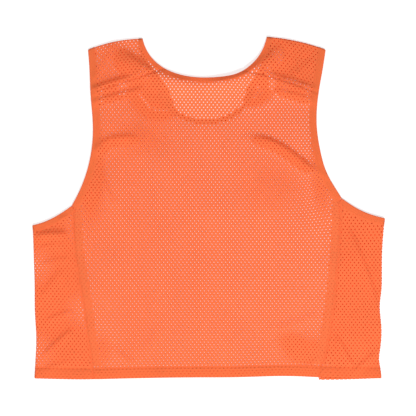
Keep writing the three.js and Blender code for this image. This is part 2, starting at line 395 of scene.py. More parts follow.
# Creases: height, half width, then the control points of the line of each one's steeper flank.
CREASES = (
    (9.2, 11.0, (-168, 304), (-116, 255), (-74, 238), (-4, 230)),
    (2.4, 8.0, (-168, 284), (-136, 262), (-106, 250)),
    (8.6, 10.5, (146, 306), (106, 262), (66, 241), (-12, 230)),
    (6.2, 7.5, (-214, 212), (-184, 234), (-118, 246)),
    (7.4, 8.5, (90, 253), (142, 240), (206, 216)),
    (3.8, 5.5, (-212, 195), (-184, 204), (-100, 226)),
    (4.2, 5.5, (120, 221), (160, 211), (206, 198)),
    (4.2, 8.0, (-210, 96), (-190, 146), (-116, 130)),
    (6.6, 7.5, (72, 134), (132, 134), (164, 96), (218, 60)),
    (6.0, 7.0, (-320, -40), (-284, -36), (-248, -42)),
    (2.4, 5.0, (-272, -14), (-252, -8)),
    (1.8, 5.0, (-310, -66), (-280, -58), (-250, -62)),
    (1.8, 6.0, (-308, -102), (-276, -86), (-244, -90)),
    (2.0, 6.0, (-304, -164), (-282, -130), (-260, -106)),
    (2.4, 5.0, (-298, -206), (-270, -190), (-244, -186)),
    (3.6, 5.5, (-306, -272), (-276, -238), (-242, -216)),
    (1.8, 5.0, (-302, -294), (-276, -280), (-246, -276)),
    (4.2, 6.0, (248, -24), (284, -88), (312, -208)),
    (4.2, 5.0, (228, -224), (248, -258), (266, -294)),
    (3.0, 4.5, (266, -294), (284, -284), (308, -258)),
    (1.6, 5.0, (180, -292), (204, -280), (228, -256)),
    (1.4, 6.0, (-178, -248), (-158, -262), (-130, -282)),
    (0.9, 7.0, (-124, -264), (-106, -238), (-82, -206)),
    (1.4, 7.0, (110, -222), (156, -204), (214, -184)),
    (1.4, 8.0, (-196, 82), (-182, 40), (-160, 0)),
    (1.4, 6.0, (-176, 298), (-196, 262), (-206, 230)),
    (1.4, 7.0, (148, 242), (178, 256), (200, 284)),
    (2.2, 4.0, (-224, -276), (-208, -290), (-194, -302)),
    (0.9, 9.0, (-120, 60), (-90, -30), (-60, -60)),
)

# Sewn grooves: depth and half width.
SIDE_GROOVE = (1.9, 1.9)
YOKE_GROOVE = (2.0, 2.6)
YOKE_SEAM_INNER = 70.0
HEM_GROOVE = (1.8, 2.0)
LOWER_GROOVE = (0.5, 1.3)
HEM_PROUD = 1.2  # how much higher the doubled cloth of the hem stands, and how soon it comes to that
HEM_RISE = 2.5
HEM_STEP = 6.5  # how far the front layer's hem drops below the back's at the right side seam
STEP_TOP = 30.0  # how far above the hem that drop begins, and over how long a stretch it grows
STEP_LENGTH = 40.0


# A crease's shape, in half widths: how far its crest lies below its line, how far it is felt, and how
# much wider it falls on the side of the hem.
CREST_DROP = 0.7
CREASE_REACH = 6
GENTLER = 1.7


def bump(x, y, cx, cy, across, lengthways=None, power=1):
    """1 at a place, falling away all round it; a higher power makes its top flatter."""
    lengthways = lengthways or across
    return np.exp(-((((x - cx) / across) ** 2 + ((y - cy) / lengthways) ** 2) ** power))


def crease(x, y, width, line):
    """1 along a crease's crest, falling steeply away from the hem, gently towards it, and at its ends."""
    found = np.zeros(len(x))
    path = bezier(line, 14) - (0, CREST_DROP * width)
    reach = CREASE_REACH * width
    low, high = path.min(0) - reach, path.max(0) + reach
    close = np.flatnonzero((x > low[0]) & (x < high[0]) & (y > low[1]) & (y < high[1]))
    if not len(close):
        return found
    points = np.column_stack([x[close], y[close]])[:, None]
    start, run = path[None, :-1], np.diff(path, axis=0)[None]
    share = np.clip(((points - start) * run).sum(2) / (run**2).sum(2), 0, 1)
    gap = points - start - share[..., None] * run
    away = np.hypot(gap[..., 0], gap[..., 1])
    nearest = away.argmin(1)
    rows = np.arange(len(close))
    share_along = (nearest + share[rows, nearest]) / run.shape[1]
    above = gap[rows, nearest, 1] > 0
    fall = away.min(1) / np.where(above, width, GENTLER * width)
    fade = np.clip(np.sin(np.pi * np.clip(share_along, 0.04, 0.96)) * 1.6, 0.2, 1)
    found[close] = fade * np.exp(-(fall**2))
    return found


def groove(away, shape):
    """The depth of a sewn groove at a distance from its line."""
    depth, width = shape
    return depth * np.exp(-((away / width) ** 2))


def seam_groove(x, y):
    """How far the back layer dips along its seams and the top of the hem, less the hem's own height."""
    wide = np.abs(x)
    side = groove(wide - seam_x(y), SIDE_GROOVE) * (y < SEAM_TOP[1] + 4)
    yoke = groove(y - yoke_y(x, "back"), YOKE_GROOVE) * (wide > YOKE_SEAM_INNER)
    hem = groove(y - HEM_TOP + STITCH_INSET, HEM_GROOVE)
    hem = hem + groove(y - HEM_TOP + 3 * STITCH_INSET, LOWER_GROOVE)
    doubled = HEM_PROUD * np.clip((HEM_TOP - y) / HEM_RISE, 0, 1)
    return np.maximum(np.maximum(side, yoke), hem) - doubled


def creases(x, y):
    """How high all the creases together stand."""
    return sum(height * crease(x, y, width, line) for height, width, *line in CREASES)


def ripple(x, y):
    """The slight unevenness of cloth that has been smoothed out by hand."""
    return 0.5 + 0.35 * np.sin(x / 37 + 1.3 * np.sin(y / 61)) * np.cos(y / 43 + 0.7)


def standing(x, y, folds):
    """How high the back layer stands above where it would lie flat."""
    high = ripple(x, y)
    for cx, cy, across, lengthways, height in SWELLS:
        high = high + height * bump(x, y, cx, cy, across, lengthways)
    rim = groove(np.abs(x) - seam_x(y), (RIM_HOLD, RIM_WIDTH)) * (y < SEAM_TOP[1])
    high = (high + folds) * (1 - rim)
    return -SOFTNESS * np.logaddexp(-high / SOFTNESS, -TALLEST / SOFTNESS)


def lay(p):
    """Where each point of the folded vest comes to rest on the table."""
    x, y, z = p.T
    level = np.clip((z - Z_FRONT) / (Z_BACK - Z_FRONT), 0, 1)
    folds = creases(x, y)
    z = z + standing(x, y, folds) * (FRONT_SHARE + (1 - FRONT_SHARE) * level)
    z = np.maximum(z + RESTING - level * seam_groove(x, y), LOWEST)
    dx = sum(mx * bump(x, y, cx, cy, r) for cx, cy, r, mx, my in NUDGES)
    dy = sum(my * bump(x, y, cx, cy, r) for cx, cy, r, mx, my in NUDGES)
    under = (1 - level) ** 2
    slip = sum(mx * bump(x, y, cx, cy, rx, ry, FLAT_TOP) for cx, cy, rx, ry, mx, my in SLIPS)
    rise = sum(my * bump(x, y, cx, cy, rx, ry, FLAT_TOP) for cx, cy, rx, ry, mx, my in SLIPS)
    slip = slip + np.clip(CREASE_SLIP * (folds - 1), 0, HALF_PITCH) * (np.abs(slip) < STILL)
    held = np.clip((seam_x(y) - np.abs(x)) / TAPE_WIDTH, 0, 1) ** (y < SEAM_TOP[1])
    past_seam = x - seam_x(y) + 0.5
    fade = 1 - np.clip(past_seam / (HEM_CORNER[0] - SEAM_BOTTOM[0]), 0, 1)
    low = np.clip((HEM_TOP + STEP_TOP - y) / STEP_LENGTH, 0, 1)
    step = HEM_STEP * fade * low * (past_seam > 0)
    return np.column_stack([x + dx + under * held * slip, y + dy + under * (held * rise - step), z])


# ---- Mesh helpers ----
def points_of(bm):
    """The places of a bmesh's points, as rows."""
    co = np.empty(len(bm.verts) * 3)
    mesh = bpy.data.meshes.new("points")
    bm.to_mesh(mesh)
    mesh.vertices.foreach_get("co", co)
    bpy.data.meshes.remove(mesh)
    return co.reshape(-1, 3)


def move_points(bm, co):
    """Puts the points of a bmesh at new places."""
    for vertex, place in zip(bm.verts, co.tolist()):
        vertex.co = place


def everything(bm):
    return bm.verts[:] + bm.edges[:] + bm.faces[:]


def repeat(bm, times, step):
    """Copies all that is in bm, so that it stands `times` times in a row, `step` apart."""
    per = len(bm.verts), len(bm.edges), len(bm.faces)
    made = 1
    while made < times:
        take = min(made, times - made)
        parts = (bm.verts, bm.edges, bm.faces)
        geom = [e for part, n in zip(parts, per) for e in part[: n * take]]
        new = bmesh.ops.duplicate(bm, geom=geom)["geom"]
        verts = [e for e in new if isinstance(e, bmesh.types.BMVert)]
        bmesh.ops.translate(bm, verts=verts, vec=Vector(step) * made)
        made += take


def cut(bm, point, normal, only=None):
    """Cuts bm straight across and drops what lies on the normal's side."""
    geom = everything(bm) if only is None else only
    bmesh.ops.bisect_plane(bm, geom=geom, dist=1e-4, plane_co=point, plane_no=normal, clear_outer=True)


RIDGE_LIFT = 0.14
HOLE_DROP = 0.4


def knit_cell(bm, knit):
    """One hole of the mesh with its share of the cloth round it."""
    wide = knit.pitch / MM / (2 * math.cos(math.pi / 6))
    tall = knit.row / MM / 1.5
    hole = knit.hole / MM / 2
    ridge = hole + knit.ridge / MM
    stretch = knit.stretch
    ring = bmesh.ops.create_circle(bm, segments=6, radius=1)["verts"]
    bmesh.ops.scale(bm, vec=(wide, tall, 1), verts=ring)
    to_ridge = (ridge / wide, ridge * stretch / tall, 1)
    to_hole = (hole / ridge, hole / ridge, 1)
    for scale, lift in ((to_ridge, RIDGE_LIFT), (to_hole, -HOLE_DROP)):
        edges = [e for e in bm.edges if all(v in ring for v in e.verts)]
        new = bmesh.ops.extrude_edge_only(bm, edges=edges)["geom"]
        ring = [v for v in new if isinstance(v, bmesh.types.BMVert)]
        bmesh.ops.scale(bm, vec=scale, verts=ring)
        bmesh.ops.translate(bm, vec=(0, 0, lift), verts=ring)
    bmesh.ops.recalc_face_normals(bm, faces=bm.faces)
    if sum(f.normal.z for f in bm.faces) < 0:
        bmesh.ops.reverse_faces(bm, faces=bm.faces)


def knit_sheet(knit, low, high, keep, phase=(0, 0), slant=0.0):
    """Mesh cloth over a rectangle, with only the cells whose middles `keep` accepts."""
    bm = bmesh.new()
    knit_cell(bm, knit)
    pitch, row = knit.pitch / MM, knit.row / MM
    size = len(bm.verts)
    columns = math.ceil((high[0] - low[0]) / pitch) + 4
    rows = math.ceil((high[1] - low[1]) / row / 2) + 3
    repeat(bm, 2, (pitch / 2, row, 0))
    repeat(bm, columns, (pitch, 0, 0))
    repeat(bm, rows, (0, 2 * row, 0))
    start = ((low[0] // pitch - 1) * pitch + phase[0], (low[1] // (2 * row) - 1) * 2 * row + phase[1], 0)
    bmesh.ops.translate(bm, verts=bm.verts, vec=start)
    if slant:
        bmesh.ops.rotate(bm, verts=bm.verts, cent=((low[0] + high[0]) / 2, (low[1] + high[1]) / 2, 0),
                         matrix=Matrix.Rotation(slant, 3, "Z"))
    middles = points_of(bm)[:, :2].reshape(-1, size, 2).mean(1)
    kept = keep(middles)
    bm.verts.ensure_lookup_table()
    gone = [v for i in np.flatnonzero(~kept) for v in bm.verts[i * size:(i + 1) * size]]
    bmesh.ops.delete(bm, geom=gone, context="VERTS")
    bmesh.ops.remove_doubles(bm, verts=bm.verts, dist=0.05)
    return bm


def strip_sheet(length, width, steps, rows):
    """A flat strip from (0, 0) to (length, width)."""
    bm = bmesh.new()
    bmesh.ops.create_grid(bm, x_segments=steps, y_segments=rows, size=0.5)
    bmesh.ops.translate(bm, verts=bm.verts, vec=(0.5, 0.5, 0))
    bmesh.ops.scale(bm, vec=(length, width, 1), verts=bm.verts)
    return bm


def along(line, s, t, loop=False):
    """Places s along a line and t to its right."""
    reach = walk(np.vstack([line, line[:1]]) if loop else line)
    right = normals_of(line, loop)
    if loop:
        line, right = np.vstack([line, line[:1]]), np.vstack([right, right[:1]])
    at = np.column_stack([np.interp(s, reach, line[:, i]) for i in (0, 1)])
    way = np.column_stack([np.interp(s, reach, right[:, i]) for i in (0, 1)])
    return at + way / np.hypot(*way.T)[:, None] * np.asarray(t)[:, None]


def flat_map(bm, pattern):
    """Stores a flat map of the piece from its unfolded pattern, for baking."""
    layer = bm.loops.layers.uv.new("OFBake")
    low, high = pattern.min(0), pattern.max(0)
    share = (pattern - low) / np.maximum(high - low, 1e-6) * 0.98 + 0.01
    bm.verts.index_update()
    for face in bm.faces:
        for loop in face.loops:
            loop[layer].uv = share[loop.vert.index, :2]


def finish_piece(bm, name, slot, node):
    """Turns a laid piece into its object, in metres, in place of its CAD node."""
    bmesh.ops.scale(bm, vec=(MM, MM, MM), verts=bm.verts)
    mesh = bpy.data.meshes.new(name)
    bm.to_mesh(mesh)
    bm.free()
    mesh.polygons.foreach_set("use_smooth", [True] * len(mesh.polygons))
    mesh.materials.append(material(slot))
    piece = bpy.data.objects.new(name, mesh)
    bpy.context.scene.collection.objects.link(piece)
    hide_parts(node)
    return piece


def follow(piece, side=None):
    """The piece moves with the vest's body; a piece of a side only has its place baked into its mesh."""
    if side is None:
        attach(piece, ROOT)
        return
    joint = next(j for j in frame["joints"] if j["child"] == f"{side}_side")
    outward = Vector((SIDES[side], 0, 0))
    axis = Vector(joint["axis"])
    outward = (outward - axis * outward.dot(axis)).normalized()
    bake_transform(piece)


# ---- Materials ----
def new_material(name, colour, roughness, sheen):
    material = bpy.data.materials.new(name)
    material.use_nodes = True
    shader = material.node_tree.nodes["Principled BSDF"]
    shader.inputs["Roughness"].default_value = roughness
    shader.inputs["Sheen Weight"].default_value = sheen
    shader.inputs["Sheen Roughness"].default_value = 0.4
    shader.inputs["Sheen Tint"].default_value = (1.0, 0.62, 0.42, 1)
    shader.inputs["Specular IOR Level"].default_value = 0.15
    return material, material.node_tree.nodes, material.node_tree.links, shader


def mixed_colour(nodes, links, factor, colour, dark, light):
    """The colour, from a darker to a lighter shade of itself as the factor grows."""
    ramp = nodes.new("ShaderNodeValToRGB")
    ramp.color_ramp.elements[0].position = 0.25
    ramp.color_ramp.elements[1].position = 0.75
    ramp.color_ramp.elements[0].color = (*[c * dark for c in colour[:3]], 1)
    ramp.color_ramp.elements[1].color = (*[min(1, c * light) for c in colour[:3]], 1)
    links.new(factor, ramp.inputs["Fac"])
    return ramp.outputs["Color"]


WAVE_PERIOD = math.pi / 10  # a wave texture's period at a scale of 1


def cloth_material(name, colour, wale, roughness=0.8, sheen=0.04):
    """Dyed knit: fine ribs and courses in the surface, and a slightly uneven dye."""
    material, nodes, links, shader = new_material(name, colour, roughness, sheen)
    place = nodes.new("ShaderNodeTexCoord").outputs["Object"]
    dye = nodes.new("ShaderNodeTexNoise")
    dye.inputs["Scale"].default_value = 14
    dye.inputs["Detail"].default_value = 3
    links.new(place, dye.inputs["Vector"])
    fuzz = nodes.new("ShaderNodeTexNoise")
    fuzz.inputs["Scale"].default_value = 1400
    fuzz.inputs["Detail"].default_value = 1
    links.new(place, fuzz.inputs["Vector"])
    both = nodes.new("ShaderNodeMath")
    both.operation = "MULTIPLY_ADD"
    both.inputs[1].default_value = 0.45
    links.new(fuzz.outputs["Fac"], both.inputs[0])
    half = nodes.new("ShaderNodeMath")
    half.operation = "MULTIPLY"
    half.inputs[1].default_value = 0.55
    links.new(dye.outputs["Fac"], half.inputs[0])
    links.new(half.outputs[0], both.inputs[2])
    links.new(mixed_colour(nodes, links, both.outputs[0], colour, 0.9, 1.07), shader.inputs["Base Color"])
    rough = nodes.new("ShaderNodeMapRange")
    rough.inputs["To Min"].default_value = roughness - 0.08
    rough.inputs["To Max"].default_value = roughness + 0.12
    links.new(fuzz.outputs["Fac"], rough.inputs["Value"])
    links.new(rough.outputs["Result"], shader.inputs["Roughness"])
    ribs = nodes.new("ShaderNodeTexWave")
    ribs.bands_direction = "X"
    ribs.inputs["Scale"].default_value = WAVE_PERIOD / (wale * MM)
    ribs.inputs["Distortion"].default_value = 1.2
    ribs.inputs["Detail Scale"].default_value = 3
    links.new(place, ribs.inputs["Vector"])
    loops = nodes.new("ShaderNodeTexVoronoi")
    loops.inputs["Scale"].default_value = 1100
    links.new(place, loops.inputs["Vector"])
    weave = nodes.new("ShaderNodeMath")
    weave.operation = "ADD"
    links.new(ribs.outputs["Fac"], weave.inputs[0])
    links.new(loops.outputs["Distance"], weave.inputs[1])
    bump_node = nodes.new("ShaderNodeBump")
    bump_node.inputs["Strength"].default_value = 0.35
    bump_node.inputs["Distance"].default_value = 0.0002
    links.new(weave.outputs[0], bump_node.inputs["Height"])
    links.new(bump_node.outputs["Normal"], shader.inputs["Normal"])
    through = nodes.new("ShaderNodeBsdfTranslucent")
    through.inputs["Color"].default_value = (1, colour[1] * 0.7, colour[2] * 0.5, 1)
    both_ways = nodes.new("ShaderNodeMixShader")
    both_ways.inputs["Fac"].default_value = 0.24
    links.new(shader.outputs["BSDF"], both_ways.inputs[1])
    links.new(through.outputs["BSDF"], both_ways.inputs[2])
    links.new(both_ways.outputs["Shader"], nodes["Material Output"].inputs["Surface"])
    return material


def thread_material(name, colour):
    """Twisted sewing thread, with painted shade in the grooves of its twist and painted highlight on its
    ridges.
    """
    material, nodes, links, shader = new_material(name, colour, 0.5, 0.1)
    place = nodes.new("ShaderNodeTexCoord").outputs["Object"]
    twist = nodes.new("ShaderNodeTexWave")
    twist.bands_direction = "DIAGONAL"
    twist.inputs["Scale"].default_value = 900
    links.new(place, twist.inputs["Vector"])
    # The wave that dents the thread also sets its colour: painted shade in the dents, painted highlight on
    # the ridges.
    shade = mixed_colour(nodes, links, twist.outputs["Fac"], colour, 0.8, 1.1)
    links.new(shade, shader.inputs["Base Color"])
    bump_node = nodes.new("ShaderNodeBump")
    bump_node.inputs["Strength"].default_value = 0.5
    bump_node.inputs["Distance"].default_value = 0.0001
    links.new(twist.outputs["Fac"], bump_node.inputs["Height"])
    links.new(bump_node.outputs["Normal"], shader.inputs["Normal"])
    return material


def material(slot):
    """The material of one of the record's slots, made when it is first asked for."""
    name = f"coloured_{slot}"
    if name in bpy.data.materials:
        return bpy.data.materials[name]
    dye = bpy.context.scene.vest_dye
    if slot == "mesh_cloth":
        return cloth_material(name, dye.cloth, 1.8)
    # The band and the tape take colours darker than the cloth's, as painted shade of doubled cloth.
    if slot == "plain_band":
        return cloth_material(name, dye.band, 1.4, roughness=0.75)
    if slot == "seam_tape":
        return cloth_material(name, dye.tape, 1.2, roughness=0.7)
    return thread_material(name, dye.thread)


# ---- Settings ----
class VestKnit(bpy.types.PropertyGroup):
    """The mesh of the cloth."""

    pitch: FloatProperty(
        name="Pitch", description="From hole to hole along a row", default=0.0071, unit="LENGTH")
    row: FloatProperty(
        name="Row", description="From one row of holes to the next", default=0.00474, unit="LENGTH")
    hole: FloatProperty(name="Hole", description="Width of a hole", default=0.0023, unit="LENGTH")
    stretch: FloatProperty(name="Stretch", description="Height of a hole over its width", default=1.1)
    ridge: FloatProperty(
        name="Ridge", description="Raised yarn round a hole", default=0.0007, unit="LENGTH")


class VestSewing(bpy.types.PropertyGroup):
    """The rows of stitches."""

    stitch: FloatProperty(name="Stitch", description="Length of a stitch", default=0.0024, unit="LENGTH")
    gap: FloatProperty(name="Gap", description="Between stitches", default=0.0007, unit="LENGTH")
    thread: FloatProperty(
        name="Thread", description="Thickness of the thread", default=0.00045, unit="LENGTH")


class VestDyeAndShade(bpy.types.PropertyGroup):
    """The colours of the vest; the band's and the tape's hold a little painted shade."""

    cloth: FloatVectorProperty(
        name="Cloth", description="Mesh cloth", default=(0.955, 0.206, 0.07),
        subtype="COLOR", min=0, max=1)
    # The band's and the tape's colours are a little darker than the cloth's. This is painted shade of the
    # doubled cloth at the bindings, hems and seams, which lets less light through.
    band: FloatVectorProperty(
        name="Band", description="Bindings and hems", default=(0.955, 0.19, 0.06),
        subtype="COLOR", min=0, max=1)
    tape: FloatVectorProperty(
        name="Tape", description="Tapes inside the seams", default=(0.955, 0.197, 0.064),
        subtype="COLOR", min=0, max=1)
    thread: FloatVectorProperty(
        name="Thread", description="Sewing thread", default=(0.9, 0.15, 0.042),
        subtype="COLOR", min=0, max=1)


class VestStage(bpy.types.PropertyGroup):
    """The table, the light and the camera."""

    view: FloatProperty(
        name="View", description="Width of the camera's view", default=0.7615, unit="LENGTH")
    lens: FloatProperty(name="Lens", description="Focal length in millimetres", default=135)
    key: FloatProperty(name="Key", description="Strength of the main light", default=113.0)
    fill: FloatProperty(name="Fill", description="Strength of the light all round", default=0.34)
    glow: FloatProperty(name="Glow", description="How far the table lights itself", default=0.62)


# ---- Cloth pieces ----
# Where the rows of holes lie in each folded piece (their start across and along), and how far they turn.
BODY_LATTICE = {"back": (0, 0), "front": (0.6, 0.35)}
SIDE_LATTICE = {"left": ((0.6, 0.8), math.radians(1.3)), "right": ((1.77, 0), 0.0)}
SHOULDER_LATTICE = {"left": ((0, -0.32), math.radians(0.5)), "right": ((0, 2.37), math.radians(0.1))}
SIDE_HEM_PHASE = (1.1, 2.3)


def clear_of_holes(middles, sides=(LEFT, RIGHT)):
    """Cells of an unfolded piece that lie clear of the neckline and the armholes."""
    kept = ~inside(middles, grown(neck_outline(), NECK_CLEAR))
    for side in sides:
        kept &= ~inside(middles, armhole_outline(side, ARM_CLEAR))
    return kept


def front_clear(middles):
    """The same for a piece that lies flat on the front layer."""
    return clear_of_holes(np.column_stack([middles[:, 0], over_shoulder(middles)[:, 1]]))


def sheet_facts(bm):
    """A flat pattern's width, length and area, in metres."""
    co = points_of(bm)
    size = (co.max(0) - co.min(0)) * MM
    return (float(size[0]), float(size[1])), sum(f.calc_area() for f in bm.faces) * MM * MM


def fold_piece(bm, place):
    """Folds a flat piece into place, keeping a map of its pattern."""
    pattern = points_of(bm)
    flat_map(bm, pattern)
    move_points(bm, place(pattern))


def settle(bm):
    """The last step for each piece: from its folded shape to where it lies."""
    move_points(bm, lay(points_of(bm)))


def trim_sides(bm, side, outside):
    """Cuts along a side seam, and keeps the middle of the vest or the side panel."""
    seam = Vector((SEAM_TOP[0] - SEAM_BOTTOM[0], SEAM_TOP[1] - SEAM_BOTTOM[1], 0))
    normal = Vector((seam.y * side, -seam.x, 0)).normalized()
    point = (SEAM_TOP[0] * side, SEAM_TOP[1], 0)
    cut(bm, point, -normal if outside else normal)


def trim_yokes(bm, layer, side, above):
    """Cuts along a shoulder seam in one layer, and keeps the yoke or what is below it."""
    level = (lambda v: v.co.z > Z_MIDDLE) if layer == "back" else (lambda v: v.co.z <= Z_MIDDLE)
    here = [f for f in bm.faces if all(level(v) and v.co.x * side > 0 for v in f.verts)]
    geom = list(dict.fromkeys(part for f in here for part in (*f.verts, *f.edges, f)))
    normal = Vector((YOKE_SLOPE * side, 1, 0)).normalized()
    point = (SHOULDER_TIP[0] * side, SHOULDER_TIP[1] - YOKE_DROP[layer], 0)
    cut(bm, point, -normal if above else normal, only=geom)


class VEST_OT_body_panels(bpy.types.Operator):
    """Cuts and lays the back panel and the front panel."""

    bl_idname = "vest.body_panels"
    bl_label = "Body Panels"

    def execute(self, context):
        knit = context.scene.vest_knit
        low, high = (-SEAM_TOP[0], HEM_TOP), (SEAM_TOP[0], TOP_Y)
        for layer in LAYERS:
            back = layer == "back"

            def keep(m, back=back, layer=layer):
                kept = clear_of_holes(m) if back else front_clear(m)
                x, y = m.T
                kept &= (np.abs(x) < seam_x(y) + MARGIN) | (y > SEAM_TOP[1])
                return kept & (y < yoke_y(x, layer) + MARGIN) & (y > HEM_TOP - MARGIN)

            bm = knit_sheet(knit, low, high, keep, BODY_LATTICE[layer])
            for side in SIDES.values():
                trim_sides(bm, side, outside=False)
            cut(bm, (0, HEM_TOP, 0), (0, -1, 0))
            flat, area = sheet_facts(bm)
            fold_piece(bm, place_back if back else place_front)
            if not back:
                bmesh.ops.reverse_faces(bm, faces=bm.faces)
            for side in SIDES.values():
                trim_yokes(bm, layer, side, above=False)
            settle(bm)
            piece = finish_piece(bm, f"{layer}_body_cloth", "mesh_cloth", f"{layer}_panel")
            follow(piece)
        return {"FINISHED"}


class VEST_OT_side_panels(bpy.types.Operator):
    """Cuts the side panels, folds each round its side and lays it."""

    bl_idname = "vest.side_panels"
    bl_label = "Side Panels"

    def execute(self, context):
        knit = context.scene.vest_knit
        under = joined(UNDER, round_side(UNDER[::-1]))
        width = HALF_CHEST - SEAM_BOTTOM[0]

        def keep(m):
            x, y = beyond_side(m, RIGHT).T
            edge = np.interp(x, under[:, 0], under[:, 1])
            far = 2 * side_x(y) + 2 * FOLD_SLACK - seam_x(y)
            kept = (y < edge - ARM_CLEAR) & (y > HEM_TOP - MARGIN)
            return kept & (x > seam_x(y) - MARGIN) & (x < far + MARGIN)

        for name, side in SIDES.items():
            phase, slant = SIDE_LATTICE[name]
            bm = knit_sheet(knit, (-width, HEM_TOP), (width, SEAM_TOP[1]), keep, phase, slant)
            flat, area = sheet_facts(bm)
            fold_piece(bm, lambda p, side=side: place_round_side(beyond_side(p, side)))
            trim_sides(bm, side, outside=True)
            cut(bm, (0, HEM_TOP, 0), (0, -1, 0))
            settle(bm)
            bmesh.ops.recalc_face_normals(bm, faces=bm.faces)
            piece = finish_piece(bm, f"{name}_side_cloth", "mesh_cloth", f"{name}_side_panel")
            follow(piece, name)
        return {"FINISHED"}


class VEST_OT_shoulder_yokes(bpy.types.Operator):
    """Cuts the shoulder yokes, folds each over its shoulder and lays it."""

    bl_idname = "vest.shoulder_yokes"
    bl_label = "Shoulder Yokes"

    def execute(self, context):
        knit = context.scene.vest_knit
        low = (YOKE_INNER, -YOKE_DROP["back"] - YOKE_MARGIN)
        high = (SHOULDER_TIP[0], YOKE_DROP["front"] + YOKE_MARGIN)

        def keep(m):
            m = beyond_shoulder(m, RIGHT)
            x, y = m.T
            far = 2 * shoulder_y(x) + 2 * FOLD_SLACK - yoke_y(x, "front")
            kept = clear_of_holes(m, [RIGHT]) & (x > YOKE_INNER)
            return kept & (y > yoke_y(x, "back") - MARGIN) & (y < far + MARGIN)

        for name, side in SIDES.items():
            phase, slant = SHOULDER_LATTICE[name]
            bm = knit_sheet(knit, low, high, keep, phase, slant)
            flat, area = sheet_facts(bm)
            fold_piece(bm, lambda p, side=side: place_over_shoulder(beyond_shoulder(p, side)))
            for layer in LAYERS:
                trim_yokes(bm, layer, side, above=True)
            settle(bm)
            bmesh.ops.recalc_face_normals(bm, faces=bm.faces)
            piece = finish_piece(bm, f"{name}_yoke_cloth", "mesh_cloth", f"{name}_shoulder_yoke")
            follow(piece)
        return {"FINISHED"}


def binding(name, line, width, place, node, loop=False, side=None):
    """A strip folded over the edge that a line follows, half outside and half inside the vest."""
    length = walk(np.vstack([line, line[:1]]) if loop else line)[-1]
    radius = BINDING_THICK / 2
    full = 2 * width + math.pi * radius
    bm = strip_sheet(length, full, steps=round(length / 3), rows=22)
    flat = points_of(bm)
    flat_map(bm, flat)
    s, v = flat[:, 0], flat[:, 1]
    past = v - width
    angle = np.clip(past / radius, 0, math.pi)
    inward = np.where(past < 0, -past, np.where(angle < math.pi, 0, past - math.pi * radius))
    rim = np.sin(angle) * radius
    height = BINDING_PROUD - radius * (1 - np.cos(angle))
    edge = np.clip(inward / width, 0, 1)
    puff = 0.25 * np.sin(np.pi * edge) * np.cos(angle)
    lip = -0.3 * (edge > 0.97) * np.cos(angle)
    at = along(line, s, inward + radius - rim, loop)
    move_points(bm, place(np.column_stack([at, height + puff + lip])))
    if loop:
        bmesh.ops.remove_doubles(bm, verts=bm.verts, dist=0.02)
    settle(bm)
    bmesh.ops.recalc_face_normals(bm, faces=bm.faces)
    piece = finish_piece(bm, name, "plain_band", node)
    follow(piece, side)


class VEST_OT_bindings(bpy.types.Operator):
    """Folds the bindings over the neckline and the armholes, and the hems over the underarm edges."""

    bl_idname = "vest.bindings"
    bl_label = "Bindings"

    def execute(self, context):
        neck = neck_outline()
        neck = evenly(np.vstack([neck, neck[:1]]), PATH_STEP)[:-1]
        binding("neck_band", neck, NECK_BAND, place_over_shoulder, "neck_binding", loop=True)
        for name, side in SIDES.items():
            arm = flipped(evenly(armhole_line(), PATH_STEP), side)
            under = flipped(evenly(joined(UNDER, round_side(UNDER[::-1])), PATH_STEP), side)
            if side == RIGHT:
                arm = arm[::-1]
            else:
                under = under[::-1]
            node = f"{name}_armhole_binding"
            binding(f"{name}_arm_band", arm, ARM_BAND, place_over_shoulder, node)
            node = f"{name}_underarm_hem"
            binding(f"{name}_underarm_band", under, ARM_BAND, place_round_side, node, side=name)
        return {"FINISHED"}


class VEST_OT_hems(bpy.types.Operator):
    """Turns the bottom edge up behind itself, across the back, the front and round both sides."""

    bl_idname = "vest.hems"
    bl_label = "Hems"

    def execute(self, context):
        knit = context.scene.vest_knit
        low_y = -TOP_Y - HEM_DEPTH + HEM_SHORT
        top_y = HEM_TOP + MARGIN

        def in_hem(m):
            return (m[:, 1] < top_y) & (m[:, 1] > low_y - 2 * HEM_SHORT)

        def in_body_hem(m):
            return in_hem(m) & (np.abs(m[:, 0]) < SEAM_BOTTOM[0] + HEM_OVERHANG)

        half = SEAM_BOTTOM[0] + MARGIN
        for layer in LAYERS:
            bm = knit_sheet(knit, (-half, low_y), (half, top_y), in_body_hem)
            self.finish_hem(bm, f"{layer}_hem", place_back if layer == "back" else place_front, None)
        wide = 2 * (HEM_CORNER[0] - SEAM_BOTTOM[0] + SIDE_HEM_MARGIN)
        for name, side in SIDES.items():
            low_x = SEAM_BOTTOM[0] if side == RIGHT else -2 * HALF_CHEST + SEAM_BOTTOM[0]
            low, high = (low_x - SIDE_HEM_MARGIN, low_y), (low_x + wide, top_y)
            bm = knit_sheet(knit, low, high, in_hem, SIDE_HEM_PHASE)
            self.finish_hem(bm, f"{name}_side_hem", place_round_side, name)
        return {"FINISHED"}

    def finish_hem(self, bm, node, place, name):
        """Folds one hem, trims it at the side seams and lays it."""
        cut(bm, (0, HEM_TOP, 0), (0, 1, 0))
        flat, area = sheet_facts(bm)
        fold_piece(bm, lambda p: place(turn_hem_up(p)))
        if node == "front_hem":
            bmesh.ops.reverse_faces(bm, faces=bm.faces)
        if name is None:
            for side in SIDES.values():
                trim_sides(bm, side, outside=False)
        else:
            trim_sides(bm, SIDES[name], outside=True)
        settle(bm)
        piece = finish_piece(bm, f"{node}_cloth", "plain_band", node)
        follow(piece, name)


